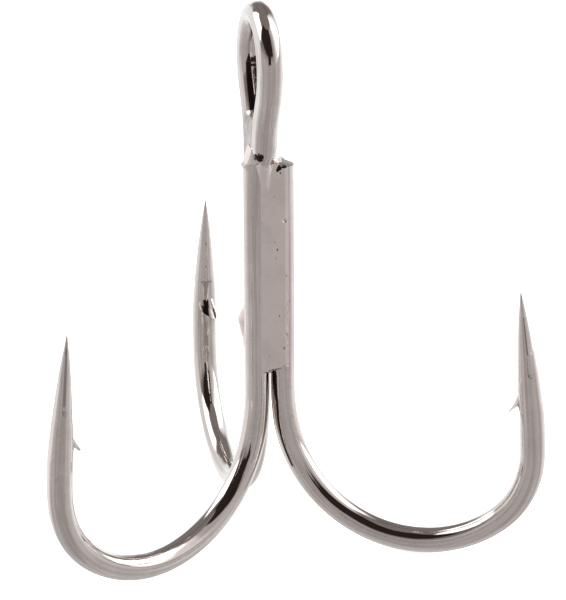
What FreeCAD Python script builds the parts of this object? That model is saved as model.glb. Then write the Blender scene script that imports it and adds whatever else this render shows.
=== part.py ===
import FreeCAD, Part

import math
import os

import Sketcher
from FreeCAD import Placement, Rotation, Vector

# A treble hook: three barbed wires brazed side by side. +Z is up, the shank's axis is the Z axis, the
# three bends rest on Z = 0 and the eyed wire's hook points to +Y. Millimetres and degrees throughout.
#
# Each wire lies in one plane. It is drawn in its own body's XZ plane, where X is the distance from the
# shank's axis, and the body's Placement turns that plane to the wire's azimuth.

SIZES = {
    # wire and shank
    "wire_radius": 1.0,
    "left_azimuth": -150.0,
    "right_azimuth": -31.1,
    "eyed_azimuth": 90.0,
    "shank_offset": 1.17,
    "eyed_offset": 1.375,
    "eyed_sideways": -0.52,
    "cut_height": 31.2,
    # bend: four tangent arcs, from the shank round to the point
    "throat_radius": 14.4,
    "throat_angle": 15.6,
    "heel_radius": 10.65,
    "heel_angle": 114.2,
    "front_radius": 7.5,
    "front_angle": 50.1,
    "rise_radius": 33.3,
    "rise_angle": 6.0,
    # ground point
    "point_half_angle": 8.2,
    "point_ease_radius": 36.0,
    "tip_radius": 0.04,
    # barb and the slot behind it, along the wire from the point's base and out from its centre line
    "barb_top": 1.15,
    "barb_under": 0.3,
    "barb_end": -0.28,
    "barb_reach": 1.84,
    "barb_bed": 0.5,
    "barb_width": 0.6,
    "slot_end": -1.15,
    "slot_floor": 0.75,
    "slot_width": 0.5,
    "slot_clear": 1.2,
    # eye: a tear-shaped loop, the same on both sides of its own middle line
    "eye_middle": -0.11,
    "neck_height": 32.03,
    "neck_bend_radius": 7.2,
    "neck_bend_angle": 27.6,
    "eye_leg": 1.5,
    "eye_side_radius": 4.4,
    "eye_side_angle": 59.0,
    # tail: the eye's end, ground to a taper that dies out in the front groove
    "tail_end_height": 29.3,
    "tail_end_front": -1.64,
    "tail_full_height": 31.9,
    "tail_full_front": -2.62,
    "trim_width": 4.0,
    # braze round the shank
    "braze_bottom": 14.5,
    "web_left": -0.8,
    "web_right": 1.36,
    "web_back": 0.59,
    "web_front": 1.68,
    "web_bottom_left": 14.1,
    "web_bottom_right": 14.9,
    "rear_left_depth": 0.62,
    "rear_right_depth": 0.72,
    "core_radius": 0.57,
    "bump_height": 17.7,
    "bump_half_height": 2.1,
    "bump_half_width": 0.6,
    "bump_half_depth": 0.9,
    "bump_centre_depth": 0.55,
    # braze on the cut ends and between the eye's two legs
    "end_rise": 0.95,
    "end_rim": 0.12,
    "end_crest_offset": 0.5,
    "neck_fill_back": -1.65,
    "neck_fill_depth": 3.1,
    "neck_fill_width": 1.8,
    "neck_fill_rise": 3.2,
}
SHEET = "sizes"
VOLUME_TOLERANCE = 0.01

BEND = [
    ("throat_radius", "throat_angle"),
    ("heel_radius", "heel_angle"),
    ("front_radius", "front_angle"),
    ("rise_radius", "rise_angle"),
]


def value(expression):
    """The number that a sum of cells such as "cut_height + end_rise" comes to."""
    total = 0.0
    sign = 1
    for word in expression.split():
        if word in ("+", "-"):
            sign = 1 if word == "+" else -1
        else:
            total += sign * SIZES[word]
    return total


def on_sheet(expression):
    """The same sum as a FreeCAD expression on the spreadsheet."""
    return " ".join("%s.%s" % (SHEET, word) if word in SIZES else word for word in expression.split())


# ---- dimensions that follow from the driving ones ----


def direction(angle):
    return Vector(math.cos(math.radians(angle)), math.sin(math.radians(angle)), 0)


def arc_end(start, heading, arc_radius, angle, side):
    """The end and centre of an arc; side is +1 for a left turn and -1 for a right turn."""
    centre = start + direction(heading + 90 * side) * arc_radius
    end = centre - direction(heading + angle * side + 90 * side) * arc_radius
    return end, centre


def bend_end():
    """Where the bend ends, measured from where it starts, and the wire's heading there."""
    spot = Vector(0, 0, 0)
    heading = -90.0
    for radius_cell, angle_cell in BEND:
        spot, _ = arc_end(spot, heading, value(radius_cell), value(angle_cell), 1)
        heading += value(angle_cell)
    return spot, heading


def bend_drop():
    """How far the centre line falls from the bend's start to its lowest point, which is in the heel."""
    turned = math.sin(math.radians(value("throat_angle")))
    return value("throat_radius") * turned + value("heel_radius") * (1 - turned)


def eye_top_half_angle():
    return 90 + value("neck_bend_angle") - value("eye_side_angle")


def eye_top_radius():
    """The top arc's radius, which closes the loop on its own middle line."""
    neck = math.radians(value("neck_bend_angle"))
    lean = math.radians(value("eye_side_angle - neck_bend_angle"))
    spread = value("neck_bend_radius") * (1 - math.cos(neck)) + value("eye_leg") * math.sin(neck)
    spread += value("eye_side_radius") * (math.cos(lean) - math.cos(neck))
    return (value("eyed_offset - eye_middle") + spread) / math.cos(lean)


def point_length():
    """The ground point's length: a straight cone and the arc that eases it into the wire."""
    half_angle = math.radians(value("point_half_angle"))
    eased = value("point_ease_radius") * (1 - math.cos(half_angle))
    cone = (value("wire_radius - tip_radius") - eased) / math.tan(half_angle)
    return cone + value("point_ease_radius") * math.sin(half_angle)


def add_derived_sizes():
    SIZES["bend_start_height"] = round(bend_drop() + value("wire_radius"), 4)
    SIZES["eye_top_radius"] = round(eye_top_radius(), 6)
    SIZES["eye_top_angle"] = round(2 * eye_top_half_angle(), 6)
    SIZES["tail_offset"] = round(value("eye_middle + eye_middle - eyed_offset"), 6)
    SIZES["point_length"] = round(point_length(), 6)


def hook_centre(azimuth_cell):
    """A single hook's shank centre in plan."""
    return direction(value(azimuth_cell)) * value("shank_offset")


def eyed_centre():
    return Vector(value("eyed_sideways"), value("eyed_offset"), 0)


# ---- document helpers ----


def make_sheet(doc):
    sheet = doc.addObject("Spreadsheet::Sheet", SHEET)
    for row, (name, number) in enumerate(SIZES.items(), start=1):
        sheet.set("A%d" % row, name)
        sheet.set("B%d" % row, str(number))
        sheet.setAlias("B%d" % row, name)
    doc.recompute()


def new_body(doc, name, placement=Placement()):
    body = doc.addObject("PartDesign::Body", name)
    body.Label = name
    body.Placement = placement
    return body


def turned_body(doc, name, azimuth_cell, place=Vector(0, 0, 0)):
    """A body whose XZ plane is turned about Z to an azimuth on the sheet."""
    body = new_body(doc, name, Placement(place, Rotation(Vector(0, 0, 1), value(azimuth_cell))))
    body.setExpression(".Placement.Rotation.Angle", on_sheet(azimuth_cell) + " * 1 deg")
    return body


def new_sketch(body, role, name, offset=Placement()):
    plane = [item for item in body.Origin.OriginFeatures if item.Role == role][0]
    sketch = body.newObject("Sketcher::SketchObject", name)
    sketch.AttachmentSupport = [(plane, "")]
    sketch.MapMode = "FlatFace"
    sketch.AttachmentOffset = offset
    sketch.Visibility = False
    return sketch


def drive(sketch, name, kind, expression, *where):
    """Add a driving dimension that follows the sheet."""
    number = value(expression)
    formula = on_sheet(expression)
    if kind == "Angle":
        number = math.radians(number)
        formula = "(%s) * 1 deg" % formula
    index = sketch.addConstraint(Sketcher.Constraint(kind, *where, number))
    sketch.renameConstraint(index, name)
    sketch.setExpression("Constraints.%s" % name, formula)


def drive_point(sketch, name, geometry, end, across, up):
    """Hold a point at a place measured from the sketch's origin."""
    drive(sketch, name + "_x", "DistanceX", across, -1, 1, geometry, end)
    drive(sketch, name + "_y", "DistanceY", up, -1, 1, geometry, end)


def outline(sketch, corners):
    """A closed outline of straight edges; each corner is (name, across, up), as sums of cells."""
    spots = [Vector(value(across), value(up), 0) for _, across, up in corners]
    count = len(corners)
    for index in range(count):
        sketch.addGeometry(Part.LineSegment(spots[index], spots[(index + 1) % count]), False)
    for index in range(count):
        sketch.addConstraint(Sketcher.Constraint("Coincident", index, 2, (index + 1) % count, 1))
    for index, (name, across, up) in enumerate(corners):
        drive_point(sketch, name, index, 1, across, up)


class Route:
    """A chain of straight runs and tangent arcs in a sketch, each bound to the sheet."""

    def __init__(self, sketch, across, up, heading):
        self.sketch = sketch
        self.spot = Vector(value(across), value(up), 0)
        self.heading = heading
        self.across = across
        self.up = up
        self.last = None
        self.length = 0.0

    def join(self, index, end):
        if self.last is None:
            self.sketch.addConstraint(Sketcher.Constraint("Vertical", index))
            drive_point(self.sketch, "start", index, end, self.across, self.up)
        else:
            self.sketch.addConstraint(Sketcher.Constraint("Tangent", self.last[0], self.last[1], index, end))

    def line(self, name, expression):
        run = value(expression)
        end = self.spot + direction(self.heading) * run
        index = self.sketch.addGeometry(Part.LineSegment(self.spot, end), False)
        self.join(index, 1)
        drive(self.sketch, name, "Distance", expression, index)
        self.spot = end
        self.last = (index, 2)
        self.length += run

    def arc(self, name, radius_cell, angle_cell, side):
        """A sketched arc runs anticlockwise, so a right turn is entered at the arc's second end."""
        arc_radius = value(radius_cell)
        span = math.radians(value(angle_cell))
        end, centre = arc_end(self.spot, self.heading, arc_radius, value(angle_cell), side)
        first = (self.spot if side > 0 else end) - centre
        start_angle = math.atan2(first.y, first.x)
        circle = Part.Circle(centre, Vector(0, 0, 1), arc_radius)
        index = self.sketch.addGeometry(Part.ArcOfCircle(circle, start_angle, start_angle + span), False)
        self.join(index, 1 if side > 0 else 2)
        drive(self.sketch, name + "_radius", "Radius", radius_cell, index)
        drive(self.sketch, name + "_angle", "Angle", angle_cell, index)
        self.spot = end
        self.heading += value(angle_cell) * side
        self.last = (index, 2 if side > 0 else 1)
        self.length += arc_radius * span

    def bend(self):
        for number, (radius_cell, angle_cell) in enumerate(BEND, start=1):
            self.arc("bend_%d" % number, radius_cell, angle_cell, 1)


# ---- the wires ----


def sweep_wire(doc, body, route):
    """Sweep the round wire along a route that starts vertically."""
    section = new_sketch(body, "XY_Plane", "section", Placement(Vector(0, 0, value(route.up)), Rotation()))
    section.setExpression(".AttachmentOffset.Base.z", on_sheet(route.up))
    circle = Part.Circle(Vector(value(route.across), 0, 0), Vector(0, 0, 1), value("wire_radius"))
    section.addGeometry(circle, False)
    drive(section, "wire", "Radius", "wire_radius", 0)
    section.addConstraint(Sketcher.Constraint("PointOnObject", 0, 3, -1))
    drive(section, "across", "DistanceX", route.across, -1, 1, 0, 3)
    pipe = body.newObject("PartDesign::AdditivePipe", "wire")
    pipe.Profile = section
    pipe.Spine = (route.sketch, [""])
    doc.recompute()
    expected = math.pi * value("wire_radius") ** 2 * route.length
    if abs(pipe.Shape.Volume / expected - 1) > VOLUME_TOLERANCE:
        raise ValueError("%s: swept volume %.2f, expected %.2f" % (body.Label, pipe.Shape.Volume, expected))


def point_frame(offset_cell):
    """The frame at the end of the bend: X runs on to the tip, Y points into the hook's gap."""
    end, heading = bend_end()
    place = Vector(value(offset_cell) + end.x, value("bend_start_height") + end.y, 0)
    return Placement(place, Rotation(Vector(0, 0, 1), heading))


def add_point(body, frame):
    """The ground point: a cone, eased into the wire by an arc."""
    sketch = new_sketch(body, "XZ_Plane", "point_outline", frame)
    half_angle = math.radians(value("point_half_angle"))
    ease_radius = value("point_ease_radius")
    centre = Vector(0, value("wire_radius") - ease_radius, 0)
    ease_end = centre + Vector(math.sin(half_angle), math.cos(half_angle), 0) * ease_radius
    rim = Vector(0, value("wire_radius"), 0)
    tip = Vector(value("point_length"), 0, 0)
    tip_rim = Vector(value("point_length"), value("tip_radius"), 0)
    circle = Part.Circle(centre, Vector(0, 0, 1), ease_radius)
    base, ease, cone, flat, axis = range(5)
    sketch.addGeometry(Part.LineSegment(Vector(0, 0, 0), rim), False)
    sketch.addGeometry(Part.ArcOfCircle(circle, math.pi / 2 - half_angle, math.pi / 2), False)
    sketch.addGeometry(Part.LineSegment(ease_end, tip_rim), False)
    sketch.addGeometry(Part.LineSegment(tip_rim, tip), False)
    sketch.addGeometry(Part.LineSegment(tip, Vector(0, 0, 0)), False)
    origin_joint = (base, 1, -1, 1)
    outline_joints = [(base, 2, ease, 2), (cone, 2, flat, 1), (flat, 2, axis, 1), (axis, 2, base, 1)]
    for joint in [origin_joint] + outline_joints:
        sketch.addConstraint(Sketcher.Constraint("Coincident", *joint))
    sketch.addConstraint(Sketcher.Constraint("Tangent", ease, 1, cone, 1))
    sketch.addConstraint(Sketcher.Constraint("Vertical", base))
    sketch.addConstraint(Sketcher.Constraint("Vertical", flat))
    sketch.addConstraint(Sketcher.Constraint("PointOnObject", ease, 3, -2))
    sketch.addConstraint(Sketcher.Constraint("Horizontal", axis))
    drive(sketch, "rim", "DistanceY", "wire_radius", base, 1, base, 2)
    drive(sketch, "ease", "Radius", "point_ease_radius", ease)
    drive(sketch, "blunt", "DistanceY", "tip_radius", flat, 2, flat, 1)
    drive(sketch, "length", "DistanceX", "point_length", -1, 1, flat, 2)
    point = body.newObject("PartDesign::Revolution", "point")
    point.Profile = sketch
    point.ReferenceAxis = (sketch, ["H_Axis"])
    point.Angle = 360


def add_slot(doc, body, frame):
    """The slot that the blade leaves in the wire under the barb."""
    before = body.Shape.Volume
    sketch = new_sketch(body, "XZ_Plane", "slot_outline", frame)
    corners = [
        ("far", "slot_end", "wire_radius"),
        ("floor", "barb_under", "slot_floor"),
        ("near", "barb_under", "slot_clear"),
        ("over", "slot_end", "slot_clear"),
    ]
    outline(sketch, corners)
    slot = body.newObject("PartDesign::Pocket", "slot")
    slot.Profile = sketch
    slot.Midplane = True
    slot.setExpression("Length", on_sheet("slot_width"))
    doc.recompute()
    if slot.Shape.Volume >= before:
        raise ValueError("%s: the slot cuts nothing" % body.Label)


def add_barb(body, frame):
    """The sliver that is lifted from the wire's inner side and points back down the hook."""
    sketch = new_sketch(body, "XZ_Plane", "barb_outline", frame)
    corners = [
        ("top", "barb_top", "wire_radius"),
        ("apex", "barb_end", "barb_reach"),
        ("under", "barb_under", "wire_radius"),
        ("bed", "barb_under", "barb_bed"),
        ("bed_top", "barb_top", "barb_bed"),
    ]
    outline(sketch, corners)
    barb = body.newObject("PartDesign::Pad", "barb")
    barb.Profile = sketch
    barb.Midplane = True
    barb.setExpression("Length", on_sheet("barb_width"))


def finish_hook(doc, body, offset_cell):
    frame = point_frame(offset_cell)
    add_point(body, frame)
    doc.recompute()
    add_slot(doc, body, frame)
    add_barb(body, frame)
    doc.recompute()
    return body


def make_single_hook(doc, name, azimuth_cell):
    """A plain hook: its wire starts at the cut end on top of the shank."""
    body = turned_body(doc, name, azimuth_cell)
    path = new_sketch(body, "XZ_Plane", "path")
    route = Route(path, "shank_offset", "cut_height", -90)
    route.line("shank", "cut_height - bend_start_height")
    route.bend()
    sweep_wire(doc, body, route)
    return finish_hook(doc, body, "shank_offset")


def make_eyed_wire(doc):
    """The long wire: up from the tail, round the eye, down the rear of the shank and out to the point."""
    body = turned_body(doc, "eyed_wire", "eyed_azimuth", Vector(value("eyed_sideways"), 0, 0))
    path = new_sketch(body, "XZ_Plane", "path")
    route = Route(path, "tail_offset", "tail_end_height", 90)
    route.line("tail", "neck_height - tail_end_height")
    route.arc("front_neck", "neck_bend_radius", "neck_bend_angle", 1)
    route.line("front_leg", "eye_leg")
    route.arc("front_side", "eye_side_radius", "eye_side_angle", -1)
    route.arc("eye_top", "eye_top_radius", "eye_top_angle", -1)
    route.arc("rear_side", "eye_side_radius", "eye_side_angle", -1)
    route.line("rear_leg", "eye_leg")
    route.arc("rear_neck", "neck_bend_radius", "neck_bend_angle", 1)
    route.line("shank", "neck_height - bend_start_height")
    route.bend()
    sweep_wire(doc, body, route)
    taper_tail(doc, body)
    return finish_hook(doc, body, "eyed_offset")


def taper_tail(doc, body):
    """Grind the tail's front away so that it dies out on the web."""
    before = body.Shape.Volume
    sketch = new_sketch(body, "XZ_Plane", "taper_outline")
    corners = [
        ("low", "tail_end_front", "tail_end_height - wire_radius"),
        ("thin", "tail_end_front", "tail_end_height"),
        ("full", "tail_full_front", "tail_full_height"),
        ("clear", "tail_full_front", "tail_end_height - wire_radius"),
    ]
    outline(sketch, corners)
    taper = body.newObject("PartDesign::Pocket", "taper")
    taper.Profile = sketch
    taper.Midplane = True
    taper.setExpression("Length", on_sheet("trim_width"))
    doc.recompute()
    if taper.Shape.Volume >= before:
        raise ValueError("the tail's taper cuts nothing")


# ---- booleans and braze ----


def named_cylinder(doc, name, radius_expression, place, height_expression):
    cylinder = doc.addObject("Part::Cylinder", name)
    cylinder.Label = name
    cylinder.setExpression("Radius", on_sheet(radius_expression))
    cylinder.setExpression("Height", on_sheet(height_expression))
    cylinder.Placement = Placement(place, Rotation())
    return cylinder


def fuse(doc, name, shapes):
    result = doc.addObject("Part::MultiFuse", name)
    result.Label = name
    result.Shapes = shapes
    return result


def cut(doc, name, base, tool):
    result = doc.addObject("Part::Cut", name)
    result.Label = name
    result.Base = base
    result.Tool = tool
    return result


def make_seats(doc):
    """The room that the two single hooks' straight shanks take up."""
    seats = []
    for side in ("left", "right"):
        place = hook_centre(side + "_azimuth") + Vector(0, 0, value("bend_start_height"))
        height = "cut_height - bend_start_height"
        seats.append(named_cylinder(doc, side + "_seat", "wire_radius", place, height))
    return fuse(doc, "seats", seats)


def make_front_braze(doc, wires):
    """The flat web over the front groove. It buries the eye's tail and ends low on a slant."""
    body = new_body(doc, "front_block")
    sketch = new_sketch(body, "XZ_Plane", "web_outline")
    corners = [
        ("top_left", "web_left", "cut_height"),
        ("bottom_left", "web_left", "web_bottom_left"),
        ("bottom_right", "web_right", "web_bottom_right"),
        ("top_right", "web_right", "cut_height"),
    ]
    outline(sketch, corners)
    web = body.newObject("PartDesign::Pad", "web")
    web.Profile = sketch
    web.setExpression("Length", on_sheet("web_front - web_back"))
    body.Placement = Placement(Vector(0, -value("web_back"), 0), Rotation())
    body.setExpression(".Placement.Base.y", "-" + on_sheet("web_back"))
    doc.recompute()
    if body.Shape.BoundBox.YMax > 0:
        raise ValueError("the front web points the wrong way")
    return cut(doc, "front_braze", body, wires)


def groove_block(doc, name, first, second, depth_cell):
    """A bar that fills the groove outside the line from one wire's centre to the next one's."""
    across = second - first
    turn = Rotation(Vector(0, 0, 1), math.degrees(math.atan2(across.y, across.x)))
    block = doc.addObject("Part::Box", name)
    block.Label = name
    block.Length = across.Length
    block.setExpression("Width", on_sheet(depth_cell))
    block.setExpression("Height", on_sheet("cut_height - braze_bottom"))
    block.Placement = Placement(first + Vector(0, 0, value("braze_bottom")), turn)
    return block


def make_bump(doc, first, second):
    """The rounded lump of braze low in the rear left groove."""
    across = second - first
    outward = Vector(-across.y, across.x, 0).normalize()
    centre = (first + second) * 0.5 + outward * value("bump_centre_depth")
    turn = Rotation(Vector(0, 0, 1), math.degrees(math.atan2(across.y, across.x)))
    bump = doc.addObject("Part::Ellipsoid", "bump")
    bump.Label = "bump"
    bump.setExpression("Radius1", on_sheet("bump_half_height"))
    bump.setExpression("Radius2", on_sheet("bump_half_width"))
    bump.setExpression("Radius3", on_sheet("bump_half_depth"))
    bump.Placement = Placement(centre + Vector(0, 0, value("bump_height")), turn)
    return bump


def make_rear_brazes(doc, wires):
    left = hook_centre("left_azimuth")
    right = hook_centre("right_azimuth")
    left_block = groove_block(doc, "rear_left_block", left, eyed_centre(), "rear_left_depth")
    bump = make_bump(doc, left, eyed_centre())
    lumped = fuse(doc, "rear_left_lump", [left_block, bump])
    right_block = groove_block(doc, "rear_right_block", eyed_centre(), right, "rear_right_depth")
    brazes = [
        cut(doc, "rear_left_braze", lumped, wires),
        cut(doc, "rear_right_braze", right_block, wires),
    ]
    return brazes, [lumped, right_block]


def make_core_braze(doc, wires, rear_blocks):
    """The filler drawn up the channel between the three wires, inside the rear grooves' filler."""
    base = Vector(0, 0, value("braze_bottom"))
    core = named_cylinder(doc, "core_block", "core_radius", base, "cut_height - braze_bottom")
    return cut(doc, "core_braze", core, fuse(doc, "core_room", [wires] + rear_blocks))


def make_neck_braze(doc, eyed_wire):
    """The filler that stands between the eye's two legs, on top of the shank."""
    block = doc.addObject("Part::Box", "neck_block")
    block.Label = "neck_block"
    block.setExpression("Length", on_sheet("neck_fill_width"))
    block.setExpression("Width", on_sheet("neck_fill_depth"))
    block.setExpression("Height", on_sheet("neck_fill_rise"))
    corner_x = value("eyed_sideways") - value("neck_fill_width") / 2
    block.Placement = Placement(Vector(corner_x, value("neck_fill_back"), value("cut_height")), Rotation())
    return block, cut(doc, "neck_braze", block, eyed_wire)


def make_end_braze(doc, side, eyed_wire, neck_block):
    """The filler that rises from a single hook's cut end to the eye's neck."""
    azimuth_cell = side + "_azimuth"
    body = turned_body(doc, side + "_end_block", azimuth_cell)
    top = Placement(Vector(0, 0, value("cut_height")), Rotation())
    disc = new_sketch(body, "XY_Plane", "disc_outline", top)
    circle = Part.Circle(Vector(value("shank_offset"), 0, 0), Vector(0, 0, 1), value("wire_radius"))
    disc.addGeometry(circle, False)
    drive(disc, "wire", "Radius", "wire_radius", 0)
    disc.addConstraint(Sketcher.Constraint("PointOnObject", 0, 3, -1))
    drive(disc, "across", "DistanceX", "shank_offset", -1, 1, 0, 3)
    pad = body.newObject("PartDesign::Pad", "disc")
    pad.Profile = disc
    pad.setExpression("Length", on_sheet("end_rise"))
    doc.recompute()
    before = pad.Shape.Volume
    slope = new_sketch(body, "XZ_Plane", "slope_outline")
    corners = [
        ("crest", "end_crest_offset", "cut_height + end_rise"),
        ("rim", "shank_offset + wire_radius", "cut_height + end_rim"),
        ("clear", "shank_offset + wire_radius + wire_radius", "cut_height + end_rim"),
        ("top", "shank_offset + wire_radius + wire_radius", "cut_height + end_rise"),
    ]
    outline(slope, corners)
    bevel = body.newObject("PartDesign::Pocket", "slope")
    bevel.Profile = slope
    bevel.Midplane = True
    bevel.setExpression("Length", on_sheet("trim_width"))
    doc.recompute()
    if bevel.Shape.Volume >= before:
        raise ValueError("%s end: the slope cuts nothing" % side)
    tools = fuse(doc, side + "_end_tools", [eyed_wire, neck_block])
    return cut(doc, side + "_end_braze", body, tools)


# ---- the whole hook ----


def check_document(doc):
    for item in doc.Objects:
        if "Invalid" in item.State or "Error" in item.State:
            raise ValueError("%s is not valid: %s" % (item.Label, item.State))


def export_parts(parts):
    os.makedirs("parts", exist_ok=True)
    for part in parts:
        shape = part.Shape
        if shape.isNull() or not shape.isValid():
            raise ValueError("%s has no valid shape" % part.Label)
        shape.exportStep("parts/%s.step" % part.Label)
        print("%-18s %2d solid  %9.3f mm3" % (part.Label, len(shape.Solids), shape.Volume))


def main():
    add_derived_sizes()
    doc = FreeCAD.newDocument("treble_hook")
    make_sheet(doc)
    left_hook = make_single_hook(doc, "left_hook", "left_azimuth")
    right_hook = make_single_hook(doc, "right_hook", "right_azimuth")
    eyed_wire = make_eyed_wire(doc)
    seats = make_seats(doc)
    eyed_hook = cut(doc, "eyed_hook", eyed_wire, seats)
    wires = fuse(doc, "wires", [seats, eyed_wire])
    neck_block, neck_braze = make_neck_braze(doc, eyed_wire)
    rear_brazes, rear_blocks = make_rear_brazes(doc, wires)
    parts = [left_hook, right_hook, eyed_hook, make_front_braze(doc, wires)] + rear_brazes
    parts += [make_core_braze(doc, wires, rear_blocks), neck_braze]
    for side in ("left", "right"):
        parts.append(make_end_braze(doc, side, eyed_wire, neck_block))
    doc.recompute()
    check_document(doc)
    export_parts(parts)


main()
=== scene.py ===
import math

import bpy
import numpy as np
from mathutils import Matrix, Vector


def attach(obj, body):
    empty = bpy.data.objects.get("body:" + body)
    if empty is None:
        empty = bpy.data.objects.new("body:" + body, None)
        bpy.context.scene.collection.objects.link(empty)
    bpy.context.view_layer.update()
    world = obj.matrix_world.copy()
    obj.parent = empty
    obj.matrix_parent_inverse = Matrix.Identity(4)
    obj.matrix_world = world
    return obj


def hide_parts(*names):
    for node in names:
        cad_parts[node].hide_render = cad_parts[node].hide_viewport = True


# The looks of a nickel-plated treble hook: three barbed wires brazed side by side. Sizes are in
# millimetres until make_mesh turns them into metres. +Z is up, the shank's axis is the Z axis, the
# bends rest on Z = 0 and the eyed wire's hook points to +Y, as in the CAD model.

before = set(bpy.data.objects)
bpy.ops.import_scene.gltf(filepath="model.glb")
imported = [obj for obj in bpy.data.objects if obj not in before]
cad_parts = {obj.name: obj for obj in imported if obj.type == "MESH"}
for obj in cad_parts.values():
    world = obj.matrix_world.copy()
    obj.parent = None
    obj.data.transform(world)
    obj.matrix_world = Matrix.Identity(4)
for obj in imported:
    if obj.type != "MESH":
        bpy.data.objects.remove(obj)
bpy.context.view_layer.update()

MM = 0.001
BODY = "root"

# ---- sizes of the wires ----

WIRE = 1.0
RIPPLE_LIMIT = 0.003
LEFT_AZIMUTH = -150.0
RIGHT_AZIMUTH = -31.1
EYED_AZIMUTH = 90.0
SHANK_OFFSET = 1.17
EYED_OFFSET = 1.375
EYED_SIDEWAYS = -0.52
CUT_HEIGHT = 31.2
BEND = ((14.4, 15.6), (10.65, 114.2), (7.5, 50.1), (33.3, 6.0))
BEND_START = 12.658
POINT_LENGTH = 9.243
EYE_MIDDLE = -0.11
NECK_HEIGHT = 32.03
NECK_BEND = (7.2, 27.6)
EYE_LEG = 1.5
EYE_SIDE = (4.4, 59.0)
EYE_TOP = (3.346, 117.2)
TAIL_OFFSET = 2 * EYE_MIDDLE - EYED_OFFSET
TAIL_END = 29.3

# the tail's taper, by height: how far forward its front is, and its radius
TAIL_HEIGHTS = (29.3, 30.4, 31.2, 31.8, 32.6)
TAIL_FRONTS = (-1.62, -1.76, -2.00, -2.33, -2.595)
TAIL_RADII = (0.36, 0.44, 0.64, 0.87, WIRE)

# the slope over the right wire's cut end: which way it falls, places that way from the wire's
# centre, and heights over the cut end
RIGHT_FALL_LINE = np.array([0.924, -0.424])
RIGHT_FALLS = (-1.05, -0.72, -0.45, -0.22, -0.02, 0.15, 0.4, 1.0)
RIGHT_TOPS = (1.15, 0.70, 0.34, 0.06, -0.13, -0.24, -0.30, -0.36)

# the burr on the left wire's cut end: which way and how far it stands out, how far below the end
# it is, and its half-height
BURR_LINE = np.array([-0.97, 0.23])
BURR_OUT = 0.20
BURR_DROP = 0.24
BURR_HALF = 0.15

# how much the front wires are flattened where they face each other below the braze, and where
# along them that starts and stops
FRONT_FLAT = 0.08
FLAT_START = (16.6, 17.5)
FLAT_STOP = (19.4, 22.2)

# ground point, by the distance from its tip
POINT_STATIONS = (0.0, 0.77, 1.47, 2.52, 4.0, 5.3, 6.7, 8.5, 9.7)
POINT_RADII = (0.035, 0.15, 0.275, 0.42, 0.58, 0.71, 0.83, 0.945, WIRE)
SIDE_RIDGE = math.radians(118)
INNER_FACET_END = 6.8
INNER_FACET_DEPTH = 0.035
NICK_DEPTH = 0.04
TIP_ROUNDING = 0.035
TIP_FINE = 1.0
TIP_WEAR_END = 1.1
GROUND_END = (6.6, 7.6)

# barb, in the frame at the bend's end: x along the point, height from the wire's surface
BARB_TOP = 1.38
BARB_MIDDLE = (0.52, 0.43)
BARB_APEX = -0.18
BARB_ROOT = 0.56
BARB_HEIGHT = 0.87
BARB_HALF_WIDTH = 0.75
SCOOP_DEPTH = 0.22
SCOOP_END = -2.1
BARB_START = BARB_TOP + 0.5
BARB_STOP = SCOOP_END - 0.3
BARB_MARKS = (0.0, 0.10, 0.28, 0.46, 0.64, 0.94, 1.0)

# rows and columns of a wire's mesh, closest together on the inner side, where the barb is
INNER_ARC = 0.95
INNER_COLUMNS = 55
OUTER_COLUMNS = 68
END_LENGTH = 4.0
END_STEP = 0.07
WIRE_STEP = 0.15
POINT_STEP = 0.06
BARB_ROWS = 90
TIP_ROWS = 34

# Each wire's own differences: its azimuth, how much longer its point is, how far along its barb is,
# how far its barb leans sideways, the outer facet's end and depth, and the ends of the nick on its
# side ridge, from the tip.
HOOKS = {
    "left": {
        "azimuth": LEFT_AZIMUTH, "longer": -0.28, "barb": -0.17, "lean": 0.0,
        "facet": (6.9, 0.02), "nick": (5.65, 6.2),
    },
    "right": {
        "azimuth": RIGHT_AZIMUTH, "longer": 0.36, "barb": 0.0, "lean": 0.0,
        "facet": (4.95, 0.09), "nick": (6.4, 6.8),
    },
    "eyed": {
        "azimuth": EYED_AZIMUTH, "longer": 0.2, "barb": -0.6, "lean": -0.3,
        "facet": (6.9, 0.02), "nick": (7.0, 7.1),
    },
}

# Braze round the shank: the groove bars, the web with its slanted lip and the seam at its right,
# how high and how far the braze on the left cut end reaches, the rings under each cut end's braze
# as shares of its radius, the neck's fill with its saddle, and the rear left bead by height.
GROOVE_BOTTOM = 14.5
GROOVE_TOP = 31.2
GROOVE_STEP = 0.09
GROOVE_LOW_END = 0.5
GROOVE_HIGH_END = 0.3
GROOVE_OVERLAP = 0.03
GROOVE_BACK_HALF = 0.12
GROOVE_BACK_OUT = 0.05
WEB_BOTTOM = 14.5
WEB_TOP = 31.25
WEB_RISE = 16.9
WEB_STEP = 0.05
WEB_COLUMNS = 71
WEB_FACE = 1.055
WEB_BACK = 0.2
WEB_LEFT = -0.86
WEB_RIGHT = 1.365
THIN_LEFT = (-0.5, -0.95)
THIN_RIGHT = (0.98, 1.34)
SKIN = 0.012
TAIL_FILLET = 0.34
LIP_DROP = 0.38
LIP_SLANT = 0.48
LIP_LEFT = -0.8
LIP_WIDTH = 2.16
LIP_FINE = 0.35
LIP_ROUNDING = 0.16
# how high the painted shade along the web lip's bottom edge reaches, and the pit depth that gets full
# painted shade
LIP_SHADE_HEIGHT = 0.13
SHADED_PIT_DEPTH = 0.08
SEAM = 1.25
SEAM_HALF = 0.035
LEFT_RISE = 1.25
LEFT_REACH = 0.75
END_ROWS = 44
UNDERSIDE = (0.0, 0.5, 0.985, 1.0)
UNDERSIDE_DEPTH = 0.12
NECK_FRONT = -1.4
NECK_REAR = 1.6
NECK_HALF = 0.92
SADDLE = 34.72
LUMP_SPREAD = 0.55
LUMP_HEIGHTS = (14.6, 15.1, 16.2, 16.9, 17.6, 18.1, 18.6, 19.3, 19.8)
LUMP_RISES = (0.0, 0.50, 0.58, 0.66, 0.86, 1.03, 0.86, 0.46, 0.0)

# ---- meshes ----


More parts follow.
